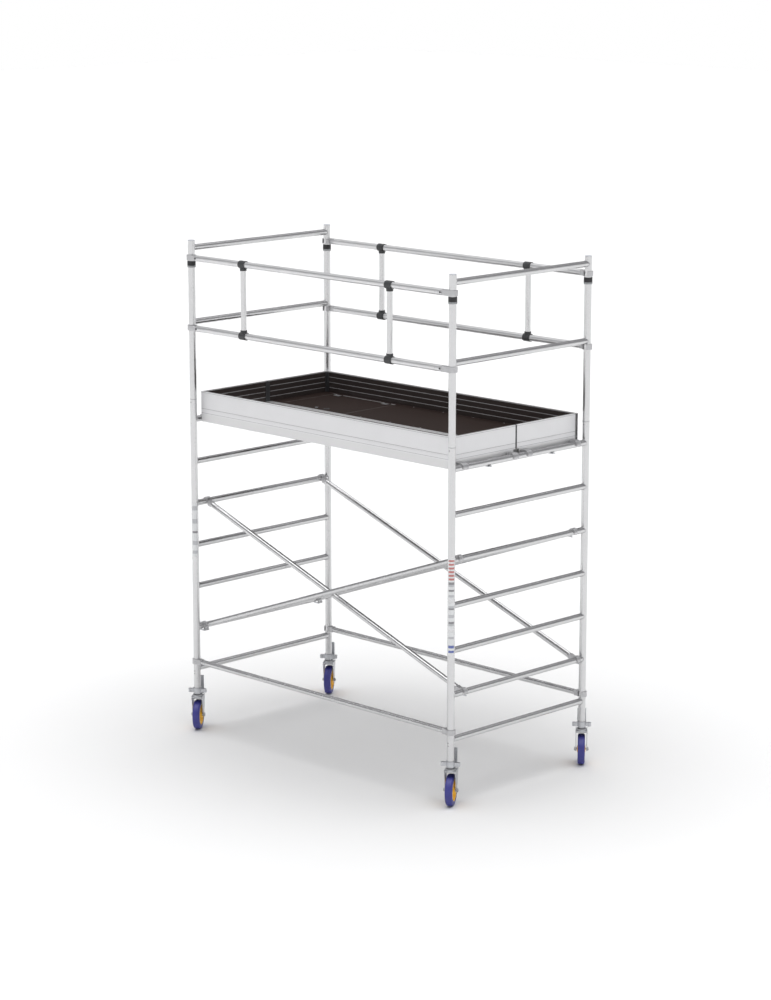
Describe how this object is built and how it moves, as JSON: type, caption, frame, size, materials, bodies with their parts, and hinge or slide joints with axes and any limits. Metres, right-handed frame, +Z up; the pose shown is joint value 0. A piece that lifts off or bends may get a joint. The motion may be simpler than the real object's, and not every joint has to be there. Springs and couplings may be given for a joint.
{
  "type": "mobile scaffold tower",
  "caption": "Double-width aluminium rolling work tower with guardrails, toe-boarded platform with trapdoor, braces and braked castors.",
  "frame": {"origin": "on the floor, under the middle of the tower's plan", "axes": "+Z up; X along the tower's length, from ladder frame to ladder frame; -Y is the front"},
  "size_m": [2.6758, 1.5027, 3.515],
  "materials": {
    "aluminium_tube": "bright extruded tube",
    "cast_aluminium": "satin casting",
    "aluminium_beam": "satin extrusion",
    "toe_board_aluminium": "satin extrusion",
    "black_plastic": "fine grained",
    "grey_plastic": "smooth",
    "deck_board": "phenolic film over birch plywood, fine mesh",
    "galvanised_steel": "zinc plated",
    "dark_steel": "blackened",
    "yellow_rim": "satin moulded",
    "blue_tyre": "satin polyurethane"
  },
  "bodies": {
    "tower": {"uprights": "aluminium_tube", "rungs": "aluminium_tube", "guard_uprights": "aluminium_tube", "guard_rungs": "aluminium_tube", "spigots": "aluminium_tube", "spigot_rivets": "dark_steel", "tube_caps": "grey_plastic", "stop_collars": "black_plastic", "guardrails": "aluminium_tube", "guardrail_posts": "aluminium_tube", "guardrail_couplers": "black_plastic", "guardrail_pins": "black_plastic", "snap_claws": "cast_aluminium", "low_braces": "aluminium_tube", "diagonal_braces": "aluminium_tube", "brace_hooks": "cast_aluminium", "platform_side_beams": "aluminium_beam", "platform_end_beams": "aluminium_beam", "platform_cross_members": "aluminium_beam", "platform_hooks": "cast_aluminium", "decks": "deck_board", "hatch_frame": "aluminium_beam", "toe_boards": "toe_board_aluminium", "toe_board_joints": "black_plastic"},
    "trapdoor": {"trapdoor": "deck_board"},
    "trapdoor_catch": {"trapdoor_catch": "galvanised_steel"},
    "front_wind_lock": {"front_wind_lock": "galvanised_steel"},
    "rear_wind_lock": {"rear_wind_lock": "galvanised_steel"},
    "front_left_leg": {"front_left_spindle": "galvanised_steel"},
    "front_left_wing_nut": {"front_left_wing_nut": "galvanised_steel"},
    "front_left_fork": {"front_left_fork": "galvanised_steel"},
    "front_left_wheel": {"front_left_rim": "yellow_rim", "front_left_tyre": "blue_tyre"},
    "front_left_brake": {"front_left_brake_pedal": "galvanised_steel"},
    "front_right_leg": {"front_right_spindle": "galvanised_steel"},
    "front_right_wing_nut": {"front_right_wing_nut": "galvanised_steel"},
    "front_right_fork": {"front_right_fork": "galvanised_steel"},
    "front_right_wheel": {"front_right_rim": "yellow_rim", "front_right_tyre": "blue_tyre"},
    "front_right_brake": {"front_right_brake_pedal": "galvanised_steel"},
    "rear_left_leg": {"rear_left_spindle": "galvanised_steel"},
    "rear_left_wing_nut": {"rear_left_wing_nut": "galvanised_steel"},
    "rear_left_fork": {"rear_left_fork": "galvanised_steel"},
    "rear_left_wheel": {"rear_left_rim": "yellow_rim", "rear_left_tyre": "blue_tyre"},
    "rear_left_brake": {"rear_left_brake_pedal": "galvanised_steel"},
    "rear_right_leg": {"rear_right_spindle": "galvanised_steel"},
    "rear_right_wing_nut": {"rear_right_wing_nut": "galvanised_steel"},
    "rear_right_fork": {"rear_right_fork": "galvanised_steel"},
    "rear_right_wheel": {"rear_right_rim": "yellow_rim", "rear_right_tyre": "blue_tyre"},
    "rear_right_brake": {"rear_right_brake_pedal": "galvanised_steel"},
    "front_inner_left_latch": {"front_inner_left_latch": "galvanised_steel"},
    "front_inner_right_latch": {"front_inner_right_latch": "galvanised_steel"},
    "front_outer_left_latch": {"front_outer_left_latch": "galvanised_steel"},
    "front_outer_right_latch": {"front_outer_right_latch": "galvanised_steel"},
    "rear_inner_left_latch": {"rear_inner_left_latch": "galvanised_steel"},
    "rear_inner_right_latch": {"rear_inner_right_latch": "galvanised_steel"},
    "rear_outer_left_latch": {"rear_outer_left_latch": "galvanised_steel"},
    "rear_outer_right_latch": {"rear_outer_right_latch": "galvanised_steel"}
  },
  "joints": [
    {"name": "front_left_leg_slide", "type": "slide", "parent": "tower", "child": "front_left_leg", "axis": [0, 0, -1], "range_m": [0, 0.2]},
    {"name": "front_left_nut_turn", "type": "hinge", "parent": "tower", "child": "front_left_wing_nut", "pos_m": [-1.25, -0.65, 0.29], "axis": [0, 0, 1], "range_deg": [0, 7200]},
    {"name": "front_left_swivel", "type": "hinge", "parent": "front_left_leg", "child": "front_left_fork", "pos_m": [-1.25, -0.65, 0.24], "axis": [0, 0, 1], "continuous": true},
    {"name": "front_left_wheel_spin", "type": "hinge", "parent": "front_left_fork", "child": "front_left_wheel", "pos_m": [-1.26204, -0.63403, 0.106], "axis": [0.7986, 0.6018, 0], "continuous": true},
    {"name": "front_left_brake_hinge", "type": "hinge", "parent": "front_left_fork", "child": "front_left_brake", "pos_m": [-1.2849, -0.60368, 0.236], "axis": [0.7986, 0.6018, 0], "range_deg": [0, 9]},
    {"name": "front_right_leg_slide", "type": "slide", "parent": "tower", "child": "front_right_leg", "axis": [0, 0, -1], "range_m": [0, 0.2]},
    {"name": "front_right_nut_turn", "type": "hinge", "parent": "tower", "child": "front_right_wing_nut", "pos_m": [1.25, -0.65, 0.29], "axis": [0, 0, 1], "range_deg": [0, 7200]},
    {"name": "front_right_swivel", "type": "hinge", "parent": "front_right_leg", "child": "front_right_fork", "pos_m": [1.25, -0.65, 0.24], "axis": [0, 0, 1], "continuous": true},
    {"name": "front_right_wheel_spin", "type": "hinge", "parent": "front_right_fork", "child": "front_right_wheel", "pos_m": [1.23911, -0.63323, 0.106], "axis": [0.8387, 0.5446, 0], "continuous": true},
    {"name": "front_right_brake_hinge", "type": "hinge", "parent": "front_right_fork", "child": "front_right_brake", "pos_m": [1.21841, -0.60136, 0.236], "axis": [0.8387, 0.5446, 0], "range_deg": [0, 9]},
    {"name": "rear_left_leg_slide", "type": "slide", "parent": "tower", "child": "rear_left_leg", "axis": [0, 0, -1], "range_m": [0, 0.2]},
    {"name": "rear_left_nut_turn", "type": "hinge", "parent": "tower", "child": "rear_left_wing_nut", "pos_m": [-1.25, 0.65, 0.29], "axis": [0, 0, 1], "range_deg": [0, 7200]},
    {"name": "rear_left_swivel", "type": "hinge", "parent": "rear_left_leg", "child": "rear_left_fork", "pos_m": [-1.25, 0.65, 0.24], "axis": [0, 0, 1], "continuous": true},
    {"name": "rear_left_wheel_spin", "type": "hinge", "parent": "rear_left_fork", "child": "rear_left_wheel", "pos_m": [-1.26176, 0.66618, 0.106], "axis": [0.809, 0.5878, 0], "continuous": true},
    {"name": "rear_left_brake_hinge", "type": "hinge", "parent": "rear_left_fork", "child": "rear_left_brake", "pos_m": [-1.28409, 0.69692, 0.236], "axis": [0.809, 0.5878, 0], "range_deg": [0, 9]},
    {"name": "rear_right_leg_slide", "type": "slide", "parent": "tower", "child": "rear_right_leg", "axis": [0, 0, -1], "range_m": [0, 0.2]},
    {"name": "rear_right_nut_turn", "type": "hinge", "parent": "tower", "child": "rear_right_wing_nut", "pos_m": [1.25, 0.65, 0.29], "axis": [0, 0, 1], "range_deg": [0, 7200]},
    {"name": "rear_right_swivel", "type": "hinge", "parent": "rear_right_leg", "child": "rear_right_fork", "pos_m": [1.25, 0.65, 0.24], "axis": [0, 0, 1], "continuous": true},
    {"name": "rear_right_wheel_spin", "type": "hinge", "parent": "rear_right_fork", "child": "rear_right_wheel", "pos_m": [1.23688, 0.66509, 0.106], "axis": [0.7547, 0.6561, 0], "continuous": true},
    {"name": "rear_right_brake_hinge", "type": "hinge", "parent": "rear_right_fork", "child": "rear_right_brake", "pos_m": [1.21195, 0.69377, 0.236], "axis": [0.7547, 0.6561, 0], "range_deg": [0, 9]},
    {"name": "trapdoor_hinge", "type": "hinge", "parent": "tower", "child": "trapdoor", "pos_m": [-0.765, 0.544, 2.304], "axis": [-1, 0, 0], "range_deg": [0, 95]},
    {"name": "trapdoor_catch_turn", "type": "hinge", "parent": "trapdoor", "child": "trapdoor_catch", "pos_m": [-0.765, 0.076, 2.296], "axis": [0, 0, -1], "range_deg": [0, 90]},
    {"name": "front_wind_lock_slide", "type": "slide", "parent": "tower", "child": "front_wind_lock", "axis": [-1, 0, 0], "range_m": [0, 0.06]},
    {"name": "rear_wind_lock_slide", "type": "slide", "parent": "tower", "child": "rear_wind_lock", "axis": [-1, 0, 0], "range_m": [0, 0.06]},
    {"name": "front_inner_left_latch_hinge", "type": "hinge", "parent": "tower", "child": "front_inner_left_latch", "pos_m": [-1.217, -0.5145, 1.631], "axis": [0, -1, 0], "range_deg": [0, 60], "stiffness_Nm_per_rad": 0.03, "springref_deg": -34.38},
    {"name": "front_inner_right_latch_hinge", "type": "hinge", "parent": "tower", "child": "front_inner_right_latch", "pos_m": [1.217, -0.5145, 0.731], "axis": [0, 1, 0], "range_deg": [0, 60], "stiffness_Nm_per_rad": 0.03, "springref_deg": -34.38},
    {"name": "front_outer_left_latch_hinge", "type": "hinge", "parent": "tower", "child": "front_outer_left_latch", "pos_m": [-1.217, -0.6035, 0.731], "axis": [0, -1, 0], "range_deg": [0, 60], "stiffness_Nm_per_rad": 0.03, "springref_deg": -34.38},
    {"name": "front_outer_right_latch_hinge", "type": "hinge", "parent": "tower", "child": "front_outer_right_latch", "pos_m": [1.217, -0.6035, 1.631], "axis": [0, 1, 0], "range_deg": [0, 60], "stiffness_Nm_per_rad": 0.03, "springref_deg": -34.38},
    {"name": "rear_inner_left_latch_hinge", "type": "hinge", "parent": "tower", "child": "rear_inner_left_latch", "pos_m": [-1.217, 0.5145, 0.731], "axis": [0, -1, 0], "range_deg": [0, 60], "stiffness_Nm_per_rad": 0.03, "springref_deg": -34.38},
    {"name": "rear_inner_right_latch_hinge", "type": "hinge", "parent": "tower", "child": "rear_inner_right_latch", "pos_m": [1.217, 0.5145, 1.631], "axis": [0, 1, 0], "range_deg": [0, 60], "stiffness_Nm_per_rad": 0.03, "springref_deg": -34.38},
    {"name": "rear_outer_left_latch_hinge", "type": "hinge", "parent": "tower", "child": "rear_outer_left_latch", "pos_m": [-1.217, 0.6035, 1.631], "axis": [0, -1, 0], "range_deg": [0, 60], "stiffness_Nm_per_rad": 0.03, "springref_deg": -34.38},
    {"name": "rear_outer_right_latch_hinge", "type": "hinge", "parent": "tower", "child": "rear_outer_right_latch", "pos_m": [1.217, 0.6035, 0.731], "axis": [0, 1, 0], "range_deg": [0, 60], "stiffness_Nm_per_rad": 0.03, "springref_deg": -34.38}
  ],
  "couplings": [
    {"joint": "front_left_nut_turn", "follows": "front_left_leg_slide", "rad_per_m": 628.32},
    {"joint": "front_right_nut_turn", "follows": "front_right_leg_slide", "rad_per_m": 628.32},
    {"joint": "rear_left_nut_turn", "follows": "rear_left_leg_slide", "rad_per_m": 628.32},
    {"joint": "rear_right_nut_turn", "follows": "rear_right_leg_slide", "rad_per_m": 628.32}
  ]
}
